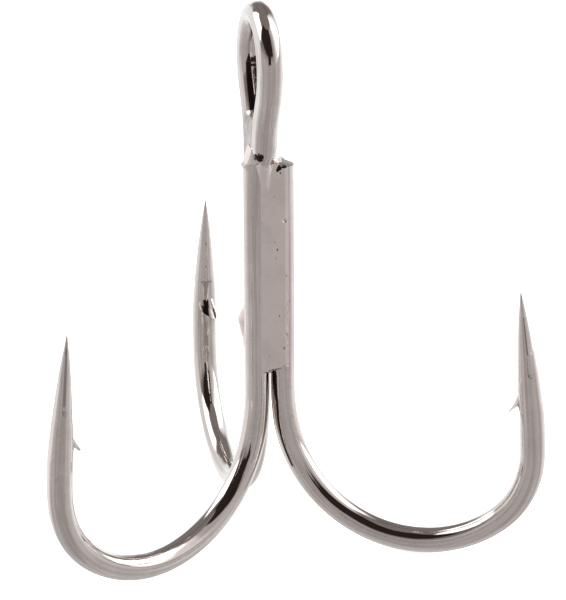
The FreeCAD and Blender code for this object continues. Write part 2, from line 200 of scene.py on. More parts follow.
def make_mesh(name, points, faces, attributes, sharp):
    """A closed mesh from points in millimetres, smooth except along edges sharper than an angle."""
    mesh = bpy.data.meshes.new(name)
    mesh.from_pydata((np.asarray(points) * MM).tolist(), [], faces)
    for key, values in attributes.items():
        layer = mesh.attributes.new(key, "FLOAT_VECTOR", "POINT")
        layer.data.foreach_set("vector", np.asarray(values, np.float32).ravel())
    mesh.validate()
    mesh.shade_smooth()
    mesh.set_sharp_from_angle(angle=math.radians(sharp))
    piece = bpy.data.objects.new(name, mesh)
    bpy.context.scene.collection.objects.link(piece)
    return piece


def loft(name, rings, sharp, extra=None):
    """Join closed rings of equal length with quads, and close both ends with a fan."""
    rings = np.asarray(rings, float)
    count, around = rings.shape[:2]
    points = rings.reshape(-1, 3)
    first, last = rings[0].mean(0), rings[-1].mean(0)
    points = np.vstack([points, first, last])
    index = np.arange(count * around).reshape(count, around)
    after = np.roll(index, -1, axis=1)
    quads = np.stack([index[:-1], after[:-1], after[1:], index[1:]], axis=-1).reshape(-1, 4)
    faces = quads.tolist()
    faces += [[count * around, after[0, k], index[0, k]] for k in range(around)]
    faces += [[count * around + 1, index[-1, k], after[-1, k]] for k in range(around)]
    attributes = {}
    for key, values in (extra or {}).items():
        flat = np.asarray(values, float).reshape(-1, 3)
        ends = [np.asarray(values[0]).mean(0), np.asarray(values[-1]).mean(0)]
        attributes[key] = np.vstack([flat, ends])
    return make_mesh(name, points, faces, attributes, sharp)


def smooth(low, high, number):
    """0 below low, 1 above high, and a smooth step between."""
    share = np.clip((number - low) / (high - low), 0, 1)
    return share * share * (3 - 2 * share)


class Ripple:
    """A gentle, repeatable unevenness: a sum of sines along the wire and round it."""

    def __init__(self, seed, size, longest, shortest, count=14):
        random = np.random.RandomState(seed)
        self.waves = random.uniform(1 / longest, 1 / shortest, count) * 2 * math.pi
        self.turns = random.randint(-3, 4, count)
        self.phases = random.uniform(0, 2 * math.pi, count)
        self.size = size / math.sqrt(count)

    def __call__(self, along, angle):
        total = np.zeros(np.broadcast(along, angle).shape)
        for wave, turn, phase in zip(self.waves, self.turns, self.phases):
            total += np.sin(wave * along + turn * angle + phase)
        return total * self.size


# ---- the wires ----


class Route:
    """A wire's centre line of straight runs and tangent arcs, in a vertical plane."""

    def __init__(self, across, up, heading):
        self.runs = []
        self.spot = np.array([across, up])
        self.heading = math.radians(heading)
        self.length = 0.0

    def add(self, length, curve):
        self.runs.append((self.length, self.spot, self.heading, curve))
        self.spot = self.place(length, self.spot, self.heading, curve)
        self.heading += curve * length
        self.length += length

    def line(self, length):
        self.add(length, 0.0)

    def arc(self, radius, angle, side):
        self.add(radius * math.radians(angle), side / radius)

    @staticmethod
    def place(run, spot, heading, curve):
        if curve == 0:
            return spot + run * np.array([math.cos(heading), math.sin(heading)])
        end = heading + curve * run
        turned = np.array([math.sin(end) - math.sin(heading), math.cos(heading) - math.cos(end)])
        return spot + turned / curve

    def at(self, distances):
        """Places and headings at distances along the wire; past its end it runs straight on."""
        places, headings = [], []
        for distance in distances:
            start, spot, heading, curve = [run for run in self.runs if run[0] <= distance + 1e-9][-1]
            inside = min(distance, self.length) - start
            place = self.place(inside, spot, heading, curve)
            heading = heading + curve * inside
            beyond = max(distance - self.length, 0.0)
            places.append(place + beyond * np.array([math.cos(heading), math.sin(heading)]))
            headings.append(heading)
        return np.array(places), np.array(headings)


def columns():
    """Angles round the wire, from the inner side."""
    inner = np.linspace(-INNER_ARC, INNER_ARC, INNER_COLUMNS)
    outer = np.linspace(INNER_ARC, 2 * math.pi - INNER_ARC, OUTER_COLUMNS)[1:-1]
    return np.concatenate([inner, outer])


def angle_from(theta, middle):
    """The angle between theta and middle, from 0 to pi."""
    return np.abs((theta - middle + math.pi) % (2 * math.pi) - math.pi)


def ground_radius(distance, theta, hook):
    """The ground point's radius: soft facets that meet at a ridge along each side."""
    radius = np.interp(distance, POINT_STATIONS, POINT_RADII)
    from_inner = angle_from(theta, 0.0)
    inner_share = np.clip(from_inner / SIDE_RIDGE, 0, 1)
    outer_share = np.clip((math.pi - from_inner) / (math.pi - SIDE_RIDGE), 0, 1)
    outer_end, outer_depth = hook["facet"]
    inner_dip = INNER_FACET_DEPTH * np.sin(math.pi * inner_share)
    inner_dip = inner_dip * (1 - smooth(INNER_FACET_END - 0.1, INNER_FACET_END + 0.3, distance))
    outer_dip = outer_depth * np.cos(math.pi / 2 * outer_share) ** 0.7
    outer_dip = outer_dip * (1 - smooth(outer_end - 0.45, outer_end + 0.12, distance))
    dip = np.where(from_inner > SIDE_RIDGE, outer_dip, inner_dip) * smooth(0.0, 1.5, distance)
    off_ridge = (from_inner - SIDE_RIDGE) * radius
    nick_start, nick_end = hook["nick"]
    nick_width = 0.02 + 0.15 * np.clip((nick_end - distance) / (nick_end - nick_start), 0, 1)
    nick = np.exp(-((off_ridge / nick_width) ** 4)) * smooth(nick_start, nick_start + 0.08, distance)
    nick = nick * (1 - smooth(nick_end - 0.1, nick_end + 0.02, distance))
    return radius * (1 - dip) - NICK_DEPTH * nick


def barb_profile(share, width_share, lean_share):
    """Along a column over the barb: x and height added to the wire, for share 0 to 1.

    width_share runs from 0 at the scoop's middle to 1 at its edge, and lean_share from 0 at the
    barb's crest.
    """
    middle_share, middle_height = BARB_MIDDLE
    fade = np.clip(1 - lean_share**2, 0, 1)
    top = BARB_TOP - 0.15 * lean_share**2
    apex = BARB_APEX + 0.95 * lean_share
    middle = top + middle_share * (apex - top)
    root = BARB_ROOT + 0.2 * lean_share
    end = SCOOP_END + 2.9 * width_share**1.35
    first = np.full_like(top, BARB_START)
    last = np.full_like(top, BARB_STOP)
    xs = np.stack([first, top, middle, apex, root, end, last])
    rise = BARB_HEIGHT * fade**1.5
    drop = -SCOOP_DEPTH * np.clip(1 - width_share**2, 0, 1)
    zero = np.zeros_like(top)
    heights = np.stack([zero, zero, middle_height * rise, rise, drop, zero, zero])
    x = np.empty((len(share), len(width_share)))
    height = np.empty_like(x)
    for column in range(len(width_share)):
        x[:, column] = np.interp(share, BARB_MARKS, xs[:, column])
        height[:, column] = np.interp(share, BARB_MARKS, heights[:, column])
    plain = BARB_START + share[:, None] * (BARB_STOP - BARB_START)
    mix = smooth(0.85, 1.0, width_share)[None, :]
    return x * (1 - mix) + plain * mix, height * (1 - mix)


def wire_rows(barb, tip):
    """Distances along a wire of its mesh's rows, and which of them cross the barb."""
    start, end = barb + BARB_STOP, barb + BARB_START
    stations = [
        np.arange(0, END_LENGTH, END_STEP),
        np.arange(END_LENGTH, start, WIRE_STEP),
        np.linspace(start, end, BARB_ROWS),
        np.arange(end + POINT_STEP, tip - TIP_FINE, POINT_STEP),
        np.linspace(tip - TIP_FINE, tip, TIP_ROWS),
    ]
    first_barb = len(stations[0]) + len(stations[1])
    return np.concatenate(stations), np.arange(first_barb, first_barb + BARB_ROWS)


def add_barb(radius, shift, theta, rows, local, lean):
    """Raise the barb and sink its scoop in the rows and columns that they cross."""
    offset = (theta + math.pi) % (2 * math.pi) - math.pi
    near = np.abs(offset) < BARB_HALF_WIDTH
    width_share = np.abs(offset[near]) / BARB_HALF_WIDTH
    crest = offset[near] - lean
    lean_share = np.abs(crest) / (BARB_HALF_WIDTH - np.sign(crest) * lean)
    x, height = barb_profile(np.linspace(1, 0, BARB_ROWS), width_share, lean_share)
    shift[np.ix_(rows, near)] = x - local[:, None]
    radius[np.ix_(rows, near)] += height


def wire_piece(name, route, hook, sideways, seed, shape_end):
    """Sweep a wire along its route, with its barb and ground point."""
    theta = columns()
    barb = route.length + hook["barb"]
    tip = route.length + POINT_LENGTH + hook["longer"]
    along, barb_rows = wire_rows(barb, tip)
    places, headings = route.at(along)
    distance = (tip - along)[:, None]
    ripple = Ripple(seed, size=0.0016, longest=9.0, shortest=1.2)(along[:, None], theta[None, :])
    radius = WIRE - RIPPLE_LIMIT + np.clip(ripple, -RIPPLE_LIMIT, RIPPLE_LIMIT)
    taper = ground_radius(distance, theta[None, :], hook)
    radius = np.where(distance < POINT_STATIONS[-1], radius - WIRE + taper, radius)
    shift = np.zeros_like(radius)
    add_barb(radius, shift, theta, barb_rows, along[barb_rows] - barb, hook["lean"])
    past_tip = 1 - np.clip(distance / TIP_ROUNDING, 0, 1)
    radius = radius * np.sqrt(np.clip(1 - past_tip**2, 0, 1))
    turned = math.radians(hook["azimuth"])
    out = np.array([math.cos(turned), math.sin(turned), 0.0])
    up = np.array([0.0, 0.0, 1.0])
    side = np.cross(up, out)
    centre = places[:, :1] * out + places[:, 1:] * up + np.array([sideways, 0.0, 0.0])
    left = -np.sin(headings)[:, None] * out + np.cos(headings)[:, None] * up
    ahead = np.cos(headings)[:, None] * out + np.sin(headings)[:, None] * up
    cosine, sine = np.cos(theta), np.sin(theta)
    round_wire = cosine[None, :, None] * left[:, None, :] + sine[None, :, None] * side
    rings = centre[:, None, :] + radius[..., None] * round_wire + shift[..., None] * ahead[:, None, :]
    rings = shape_end(rings, along)
    grain = np.stack(np.broadcast_arrays(cosine[None, :], sine[None, :], along[:, None]), -1)
    ground = 1 - smooth(*GROUND_END, distance) + 0 * theta[None, :]
    at_tip = 1 - smooth(0.0, TIP_WEAR_END, distance) + 0 * theta[None, :]
    marks_and_shade = np.stack([ground, at_tip, 0 * ground], axis=-1)
    return loft(name, rings[:-1], 38.0, {"grain": grain[:-1], "marks_and_shade": marks_and_shade[:-1]})


def tail_front(height):
    return np.interp(height, TAIL_HEIGHTS, TAIL_FRONTS)


def tail_radius(height):
    return np.interp(height, TAIL_HEIGHTS, TAIL_RADII)


def taper_tail(rings, along):
    """Narrow the eye's tail to a ridge that sinks back into the web."""
    low = (along < 5.0)[:, None] & (rings[..., 2] < TAIL_HEIGHTS[-1])
    height = rings[..., 2]
    radius = tail_radius(height)
    centre = np.array([EYED_SIDEWAYS, TAIL_OFFSET])
    flat = (rings[..., :2] - centre) * radius[..., None]
    middle = np.stack([np.full_like(height, EYED_SIDEWAYS), tail_front(height) + radius], axis=-1)
    rings[..., :2] = np.where(low[..., None], middle + flat, rings[..., :2])
    return rings


def part_wires(rings, along, side):
    """The two front wires are a little flattened where they face each other below the braze."""
    apart = FRONT_FLAT * smooth(*FLAT_START, along) * (1 - smooth(*FLAT_STOP, along))
    inward = -side * (rings[..., 0] - rings[..., 0].mean(axis=1, keepdims=True))
    rings[..., 0] += side * apart[:, None] * np.clip(inward, 0, 1)
    return rings


def left_burr(rings, along):
    """A burr that stands out from the left wire's cut end."""
    facing = np.clip((rings[..., :2] - LEFT) @ BURR_LINE, 0, 1) ** 3
    burr = BURR_OUT * np.exp(-(((along[:, None] - BURR_DROP) / BURR_HALF) ** 2)) * facing
    rings[..., :2] += burr[..., None] * BURR_LINE
    return part_wires(rings, along, -1)


def right_slope(rings, along):
    """The right wire's cut end is rounded off on its outer side."""
    near_end = (along < 2.0)[:, None]
    cut = np.minimum(rings[..., 2], cut_height(rings[..., :2], RIGHT))
    rings[..., 2] = np.where(near_end, cut, rings[..., 2])
    return part_wires(rings, along, 1)


def right_fall(flat):
    """How far down the slope over the right wire a place is."""
    return (flat - RIGHT) @ RIGHT_FALL_LINE


def right_top(flat):
    """How high the braze and the cut end reach over the right wire."""
    return CUT_HEIGHT + np.interp(right_fall(flat), RIGHT_FALLS, RIGHT_TOPS)


def cut_height(flat, centre):
    """The height of a cut end, which falls off to the right of the right wire."""
    if centre is LEFT:
        return np.full(flat.shape[:-1], CUT_HEIGHT)
    return np.minimum(right_top(flat), CUT_HEIGHT)


def bend_route(route):
    for radius, angle in BEND:
        route.arc(radius, angle, 1)
    return route


def single_route():
    route = Route(SHANK_OFFSET, CUT_HEIGHT, -90)
    route.line(CUT_HEIGHT - BEND_START)
    return bend_route(route)


def eyed_route():
    route = Route(TAIL_OFFSET, TAIL_END, 90)
    route.line(NECK_HEIGHT - TAIL_END)
    route.arc(*NECK_BEND, 1)
    route.line(EYE_LEG)
    route.arc(*EYE_SIDE, -1)
    route.arc(*EYE_TOP, -1)
    route.arc(*EYE_SIDE, -1)
    route.line(EYE_LEG)
    route.arc(*NECK_BEND, 1)
    route.line(NECK_HEIGHT - BEND_START)
    return bend_route(route)


# ---- braze ----


def shank_centre(azimuth):
    turned = math.radians(azimuth)
    return np.array([math.cos(turned), math.sin(turned)]) * SHANK_OFFSET


LEFT = shank_centre(LEFT_AZIMUTH)
RIGHT = shank_centre(RIGHT_AZIMUTH)
EYED = np.array([EYED_SIDEWAYS, EYED_OFFSET])


def to_world(first, second, across, outward):
    """Points given across a pair of wires and outward from the line between their centres."""
    line = (second - first) / np.linalg.norm(second - first)
    normal = np.array([line[1], -line[0]])
    middle = (first + second) / 2
    return middle + np.multiply.outer(across, line) + np.multiply.outer(outward, normal)


def groove_bar(name, first, second, edge, middle, seed, lump=None):
    """Braze in the groove between two wires, hollow between its edges, wavy along its length.

    edge and middle are how far out its sides and its hollow are, from the wires' centres.
    """
    gap = np.linalg.norm(second - first)
    random_edge = Ripple(seed, size=0.05, longest=7.0, shortest=1.5)
    random_middle = Ripple(seed + 1, size=0.035, longest=5.0, shortest=0.9)
    heights = np.arange(GROOVE_BOTTOM, GROOVE_TOP + 1e-6, GROOVE_STEP)
    share = np.linspace(-1, 1, 25)
    rings = []
    for height in heights:
        lip = math.sqrt(np.clip((height - GROOVE_BOTTOM) / GROOVE_LOW_END, 0, 1))
        lip = lip * math.sqrt(np.clip((GROOVE_TOP - height) / GROOVE_HIGH_END, 0, 1))
        edge_out = edge + float(random_edge(height, 0.0)) - 0.25 * (1 - lip)
        middle_out = middle + float(random_middle(height, 0.0)) - 0.3 * (1 - lip)
        half = gap / 2 - math.sqrt(1 - min(edge_out, 0.98) ** 2) + GROOVE_OVERLAP
        rise = 0.0 if lump is None else lump(height)
        across = share * (half + LUMP_SPREAD * rise)
        outward = middle_out + (edge_out - middle_out) * np.abs(share) ** 2.2
        outward = outward + rise * (1 - np.abs(share) ** 1.6)
        back = share[::-1] * GROOVE_BACK_HALF
        across = np.concatenate([across, back])
        outward = np.concatenate([outward, 0 * back + GROOVE_BACK_OUT])
        flat = to_world(first, second, across, outward)
        rings.append(np.column_stack([flat, np.full(len(flat), height)]))
    return loft(name, rings, 50.0)


def rear_lump(height):
    """How far a bead of braze stands out of the rear left groove."""
    near = height + np.array([-0.2, 0.0, 0.2])
    return float(np.mean(np.interp(near, LUMP_HEIGHTS, LUMP_RISES)))


# the larger pits of the web, as (place across it, height, radius, depth)
PITS = (
    (1.04, 26.6, 0.13, 0.12),
    (0.20, 24.9, 0.07, 0.04),
    (0.42, 24.3, 0.09, 0.06),
    (0.30, 23.6, 0.06, 0.04),
    (1.10, 22.1, 0.08, 0.05),
    (0.55, 18.9, 0.08, 0.04),
    (0.78, 18.5, 0.06, 0.03),
    (1.12, 17.3, 0.12, 0.09),
    (0.92, 16.2, 0.09, 0.06),
    (-0.45, 20.2, 0.05, 0.03),
    (-0.80, 26.5, 0.07, 0.06),
    (0.70, 30.45, 0.10, 0.05),
)


def blend_up(first, second, reach):
    """The greater of two surfaces, with a hollow fillet where they meet."""
    near = np.clip(reach - np.abs(first - second), 0, None) / reach
    return np.maximum(first, second) + near**2 * reach / 4


def wire_front(across, centre, radius):
    """How far out a wire's front is, falling away steeply past its sides."""
    inside = np.clip(radius**2 - (across - centre) ** 2, 0, None)
    beyond = np.clip(np.abs(across - centre) - radius, 0, None)
    return np.sqrt(inside) - 4 * beyond


def web_face(across, height):
    """The web's front before its pits: flat, thin at its sides, and drawn up onto the tail's ridge."""
    gap = np.linalg.norm(RIGHT - LEFT) / 2
    middle = (LEFT + RIGHT) / 2
    skin = np.maximum(wire_front(across, -gap, WIRE), wire_front(across, gap, WIRE)) + SKIN
    thin = smooth(*THIN_LEFT, across) + smooth(*THIN_RIGHT, across)
    face = WEB_FACE + thin * (skin - WEB_FACE)
    radius = tail_radius(height)
    tail_middle = middle[1] - tail_front(height) - radius
    tail = tail_middle + wire_front(across, EYED_SIDEWAYS - middle[0], radius + 0.008)
    fade = smooth(TAIL_END - 0.7, TAIL_END + 0.2, height)
    return blend_up(face, face + (tail - face) * fade, TAIL_FILLET * fade + 1e-6)


def web_pits():
    """All pits of the web: the larger ones, specks, a seam at its right and those in its lip."""
    random = np.random.RandomState(5)

    def scatter(count, *ranges):
        """Pits with random places across, heights, radii and depths."""
        return np.column_stack([random.uniform(low, high, count) for low, high in ranges])

    specks = scatter(26, (-0.5, 1.25), (15.2, 30.0), (0.025, 0.05), (0.008, 0.02))
    seam = scatter(15, (-0.03, 0.03), (-0.12, 0.12), (0.04, 0.07), (0.02, 0.035))
    seam[:, 0] += 1.27
    seam[:, 1] += np.linspace(15.3, 20.8, 15)
    lip = scatter(12, (-0.05, 0.05), (0.0, 0.14), (0.05, 0.11), (0.05, 0.09))
    lip[:, 0] += np.linspace(-0.3, 1.3, 12)
    lip[:, 1] += np.linspace(14.32, 14.68, 12)
    return list(PITS) + specks.tolist() + seam.tolist() + lip.tolist()


def front_web():
    """The flat web over the front groove, with pits, a slanted bottom lip and soft edges."""
    wave = Ripple(31, size=0.007, longest=6.0, shortest=1.0)
    fine = Ripple(32, size=0.0022, longest=1.4, shortest=0.4, count=24)
    pits = web_pits()
    lip_levels = np.linspace(0, LIP_FINE, 10)[:-1]
    levels = np.concatenate([lip_levels, np.arange(LIP_FINE, WEB_RISE, WEB_STEP)])
    share = np.linspace(0, 1, WEB_COLUMNS)
    gap = np.linalg.norm(RIGHT - LEFT) / 2
    rings, marks = [], []
    for level in levels:
        left_edge = WEB_LEFT - 0.32 * float(smooth(15.3, 16.8, level))
        across = left_edge + (WEB_RIGHT - left_edge) * share
        low = WEB_BOTTOM - LIP_DROP + LIP_SLANT * (across - LIP_LEFT) / LIP_WIDTH
        low = low + 0.06 * np.sin(across * 9.0) + 0.03 * np.sin(across * 23.0 + 1.0)
        front = np.column_stack([RIGHT[0] - gap + across, np.full(len(across), RIGHT[1] - WIRE)])
        top = WEB_TOP + np.minimum(right_top(front) - CUT_HEIGHT, 0)
        height = low + level * (top - low) / WEB_RISE
        outward = web_face(across, height) + wave(height, across) + fine(height, across * 3.0)
        dark = np.zeros_like(across)
        for spot, level_of, radius, depth in pits:
            off = ((across - spot) ** 2 + (height - level_of) ** 2) / radius**2
            outward = outward - depth * np.exp(-(off**1.5))
            # painted shade in each pit, darker the deeper it is
            dark = np.maximum(dark, min(depth / SHADED_PIT_DEPTH, 1.0) * np.exp(-((off / 0.8) ** 2)))
        outward = outward - LIP_ROUNDING * (1 - np.sqrt(np.clip(level / LIP_ROUNDING, 0, 1)))
        # painted shade along the bottom edge of the lip, where it turns under
        dark = np.maximum(dark, 0.8 * (1 - smooth(0.0, LIP_SHADE_HEIGHT, level)))
        seam = 0.5 + 0.5 * np.sin(height * 7.0 + 2.0 * np.sin(height * 2.3))
        seam = seam * smooth(14.6, 15.4, height) * (1 - smooth(20.5, 22.0, height))
        dark = np.maximum(dark, 0.5 * seam * np.exp(-(((across - SEAM) / SEAM_HALF) ** 2)))
        back = across[::-1][::4]
        across = np.concatenate([across, back])
        outward = np.concatenate([outward, 0 * back + WEB_BACK])
        height = np.concatenate([height, height[::-1][::4]])
        flat = to_world(LEFT, RIGHT, across, outward)
        rings.append(np.column_stack([flat, height]))
        shade = np.concatenate([dark, 0 * back])
        marks.append(np.column_stack([shade, 0 * shade, 0 * shade]))
    return loft("front_web", rings, 45.0, {"marks_and_shade": marks})


def left_end_fillet():
    """Braze that has risen from the left wire's cut end to the neck, with a hollow slope."""

    def top(flat, share):
        side = np.abs(flat[:, 0] - EYED_SIDEWAYS)
        beyond = np.maximum(np.maximum(TAIL_OFFSET - flat[:, 1], flat[:, 1] - EYED_OFFSET), 0)
        away = np.maximum(np.hypot(side, beyond) - 0.98, 0)
        slope = LEFT_RISE * np.clip(1 - away / LEFT_REACH, 0, 1) ** 2.0
        return 0.01 + slope * (1 - share**16)

    return end_fillet("left_end_fillet", LEFT, top, 61)


def right_end_fillet():
    """Braze that slopes from the neck down to the right wire's cut end."""

    def top(flat, share):
        over = right_top(flat) - cut_height(flat, RIGHT)
        return over * (1 - share**24) + SKIN - 0.03 * smooth(0.05, 0.3, right_fall(flat))

    return end_fillet("right_end_fillet", RIGHT, top, 62)


def end_fillet(name, centre, top, seed):
    """Braze over a cut end, whose height over it comes from top."""
    around = np.linspace(0, 2 * math.pi, 97)[:-1]
    shares = list(UNDERSIDE) + list(np.linspace(0.985, 0.02, END_ROWS))
    wave = Ripple(seed, size=0.012, longest=2.0, shortest=0.5)
    rings = []
    for number, share in enumerate(shares):
        flat = centre + share * WIRE * 0.996 * np.column_stack([np.cos(around), np.sin(around)])
        height = cut_height(flat, centre)
        if number < len(UNDERSIDE):
            height = height - UNDERSIDE_DEPTH
        else:
            height = height + top(flat, share) + wave(share, around) * (1 - share)
        rings.append(np.column_stack([flat, height]))
    return loft(name, rings, 50.0)


def neck_fillet():
    """Braze that fills the space between the eye's two legs, with a saddle on top."""
    places = np.linspace(NECK_FRONT, NECK_REAR, 60)
    turn = np.linspace(0, math.pi, 41)
    wave = Ripple(71, size=0.02, longest=3.0, shortest=0.8)
    rings = []
    for place in places:
        off = min(abs(place - EYE_MIDDLE) / 1.5, 1.0)
        nose = np.clip((-0.45 - place) / 0.95, 0, 1)
        half = (NECK_HALF + 0.06 * off**2) * math.sqrt(1 - 0.85 * nose**2)
        top = SADDLE + 0.45 * off**2
        shape = np.abs(np.sin(turn)) ** 0.2
        across = EYED_SIDEWAYS + half * np.cos(turn) * (1 + 0.02 * np.sin(3 * turn))
        hollow = 0.014 * np.sin(9.0 * place + 2.0 * np.sin(2.7 * place))
        across = across + wave(place, turn) * 0.6 - hollow * np.cos(turn) ** 3
        height = CUT_HEIGHT - 0.1 + (top - CUT_HEIGHT + 0.1) * shape
        rings.append(np.column_stack([across, np.full(len(turn), place), height]))
    return loft("neck_fillet", rings, 50.0)


# ---- materials ----


class Nodes:
    """A small helper that adds nodes to a tree and links them."""

    def __init__(self, tree):
        self.tree = tree
        tree.nodes.clear()

    def add(self, kind, inputs=None, **settings):
        node = self.tree.nodes.new(kind)
        for key, setting in settings.items():
            setattr(node, key, setting)
        for key, source in (inputs or {}).items():
            if isinstance(source, bpy.types.NodeSocket):
                self.tree.links.new(source, node.inputs[key])
            else:
                node.inputs[key].default_value = source
        return node

    def math(self, operation, first, second=0.0, third=0.0):
        inputs = {0: first, 1: second, 2: third}
        return self.add("ShaderNodeMath", inputs, operation=operation).outputs[0]

    def ramp(self, number, low, high, start=0.0, end=1.0):
        """A smooth step of a number from low to high, as start to end."""
        inputs = {"Value": number, "From Min": low, "From Max": high, "To Min": start, "To Max": end}
        return self.add("ShaderNodeMapRange", inputs, interpolation_type="SMOOTHSTEP").outputs[0]

    def mix(self, share, first, second):
        node = self.add("ShaderNodeMix", {0: share, 6: first, 7: second}, data_type="RGBA")
        return node.outputs[2]

    def blend(self, share, first, second):
        """A mix of two numbers."""
        return self.add("ShaderNodeMix", {0: share, 2: first, 3: second}, data_type="FLOAT").outputs[0]

    def linear(self, number, low, high, start, end):
        """A straight slope of a number from low to high, as start to end."""
        inputs = {"Value": number, "From Min": low, "From Max": high, "To Min": start, "To Max": end}
        return self.add("ShaderNodeMapRange", inputs, interpolation_type="LINEAR").outputs[0]

    def vector(self, operation, first, second=(0.0, 0.0, 0.0)):
        return self.add("ShaderNodeVectorMath", {0: first, 1: second}, operation=operation).outputs

    def scaled(self, vector, sizes):
        return self.vector("MULTIPLY", vector, sizes)[0]

    def sway(self, number, size, base):
        """base, moved up and down by a noise that runs from 0 to 1."""
        return self.math("MULTIPLY_ADD", self.math("SUBTRACT", number, 0.5), size, base)

    def attribute(self, name):
        """A vector attribute of the mesh."""
        return self.add("ShaderNodeAttribute", attribute_name=name).outputs["Vector"]

    def parts(self, vector):
        return self.add("ShaderNodeSeparateXYZ", {0: vector}).outputs

    def noise_line(self, number, scale, detail):
        """Noise along one number."""
        inputs = {"W": number, "Scale": scale, "Detail": detail}
        return self.add("ShaderNodeTexNoise", inputs, noise_dimensions="1D").outputs[0]

    def noise(self, vector, scale, detail=2.0, roughness=0.5):
        inputs = {"Vector": vector, "Scale": scale, "Detail": detail, "Roughness": roughness}
        return self.add("ShaderNodeTexNoise", inputs).outputs[0]


NICKEL = (0.84, 0.762, 0.735, 1.0)
NICKEL_DULL = (0.655, 0.578, 0.548, 1.0)
FILLER = (0.95, 0.842, 0.803, 1.0)
FILLER_DULL = (0.87, 0.765, 0.725, 1.0)
NECK_GREY = (0.60, 0.535, 0.51, 1.0)
NECK_DULL = (0.44, 0.385, 0.365, 1.0)
# a dark tone for oxide dashes, specks and the worn tip, also used for the streaks' painted dark
# reflections and shade
OXIDE_AND_SHADE = (0.42, 0.36, 0.335, 1.0)
# near black for painted shade in hollows, pits, under the web's lip and in the streaks' darkest cores,
# and for the web's dark seam line
SHADE_AND_SEAM_BLACK = (0.030, 0.022, 0.020, 1.0)
WIRE_BUMP = 0.12
BRAZE_BUMP = 0.30
BUMP_HEIGHT = 0.03 * MM

# Painted dark reflections and shade as streaks along a wire, as (angles round the wire at its start and
# end, from, to, half-width at each end, darkness, how broken): angles in degrees from its inner side,
# distances in millimetres from its start.
REFLECTION_AND_SHADE_STREAKS = {
    "left": (
        (25.5, 25.5, 9.4, 17.5, 2.2, 2.2, 0.5, 0.5),
        (64.5, 64.5, 1.6, 9.0, 3.2, 2.2, 0.28, 0.2),
        (68.0, 68.0, 17.3, 24.5, 2.0, 2.0, 0.7, 0.6),
        (102.0, 102.0, 16.9, 29.0, 2.0, 2.0, 0.95, 0.0),
        (123.5, 123.5, 57.3, 61.7, 9.0, 15.0, 0.95, 0.0),
        (126.0, 126.0, 56.55, 57.05, 2.0, 11.0, 0.95, 0.0),
        (87.0, 87.0, 28.0, 44.0, 2.5, 2.5, 0.4, 0.6),
    ),
    "right": (
        (-122.0, -104.0, 16.9, 19.6, 21.0, 8.0, 1.6, 0.0),
        (-104.0, -108.0, 19.5, 22.4, 8.0, 6.0, 1.6, 0.0),
        (-108.0, -112.0, 22.3, 24.9, 6.0, 5.0, 1.6, 0.0),
        (-91.0, -91.0, 17.0, 31.0, 1.8, 1.8, 0.4, 0.5),
        (-44.0, -44.0, 17.5, 34.0, 2.0, 2.0, 0.4, 0.3),
        (-113.0, -113.0, 58.4, 61.4, 5.5, 6.5, 1.1, 0.1),
        (-106.0, -106.0, 56.9, 58.3, 3.5, 3.5, 0.8, 0.7),
        (-110.0, -110.0, 56.65, 56.95, 4.0, 9.0, 1.1, 0.0),
        (-81.0, -81.0, 30.0, 46.0, 2.5, 2.5, 0.4, 0.6),
    ),
    "eyed": (
        (164.0, 166.0, 17.8, 21.4, 3.0, 4.0, 0.6, 0.0),
        (166.0, 163.0, 21.1, 22.0, 2.0, 13.0, 1.6, 0.0),
        (163.0, 160.0, 21.9, 26.6, 13.0, 17.0, 1.6, 0.0),
        (196.0, 200.0, 21.4, 26.6, 10.0, 20.0, 1.6, 0.3),
        (180.0, 180.0, 21.5, 22.5, 8.0, 8.0, 1.6, 0.6),
        (180.0, 180.0, 24.9, 26.6, 8.0, 8.0, 1.6, 0.0),
        (0.0, 0.0, 85.33, 85.55, 34.0, 30.0, 1.0, 0.1),
        (5.0, 5.0, 84.9, 85.4, 7.0, 20.0, 0.85, 0.0),
        (7.0, 6.0, 83.8, 85.1, 8.0, 6.0, 0.85, 0.2),
        (5.0, 5.0, 82.4, 83.9, 8.0, 8.0, 1.6, 0.0),
        (6.0, 42.0, 80.6, 83.2, 5.0, 3.0, 0.8, 0.0),
        (3.5, 3.5, 86.7, 86.95, 6.0, 5.0, 0.9, 0.0),
        (3.0, 3.0, 88.65, 88.95, 7.0, 6.0, 0.9, 0.0),
        (4.0, 4.0, 78.0, 81.0, 7.0, 11.0, 0.75, 0.2),
    ),
}

# Painted shade in the hollows beside the tail, as (centre, radii) in millimetres
SHADED_HOLLOWS = (
    ((-1.01, -1.75, 31.92), (0.41, 0.9, 0.49)),
    ((0.62, -1.65, 30.84), (0.20, 0.5, 0.25)),
    ((0.46, -1.65, 30.66), (0.13, 0.5, 0.17)),
    ((0.98, -1.60, 30.88), (0.28, 0.5, 0.10)),
)


def reflection_and_shade_mask(nodes, angle, along, reflection_and_shade_streaks):
    """How dark a wire's painted reflection and shade streaks are at a point."""
    total = 0.0
    wander = nodes.math("SUBTRACT", nodes.noise_line(along, scale=1.3, detail=3.0), 0.5)
    gaps = nodes.noise_line(along, scale=2.6, detail=4.0)
    for first, last, start, end, half_start, half_end, darkness, broken in reflection_and_shade_streaks:
        half = nodes.linear(along, start, end, half_start, half_end)
        middle = nodes.linear(along, start, end, first, last)
        off = nodes.math("MULTIPLY_ADD", wander, 3.0, nodes.math("SUBTRACT", angle, middle))
        off = nodes.math("ABSOLUTE", off)
        off = nodes.math("MINIMUM", off, nodes.math("ABSOLUTE", nodes.math("SUBTRACT", off, 360.0)))
        share = nodes.math("DIVIDE", off, half)
        mask = nodes.ramp(share, 0.65, 1.25, darkness, 0.0)
        mask = nodes.math("MULTIPLY", mask, nodes.ramp(along, start - 0.06, start + 0.10))
        mask = nodes.math("MULTIPLY", mask, nodes.ramp(along, end - 0.12, end + 0.06, 1.0, 0.0))
        if broken:
            mask = nodes.math("MULTIPLY", mask, nodes.ramp(gaps, 0.54, 0.62, 1.0, 1.0 - broken))
        total = nodes.math("MAXIMUM", total, mask)
    return total


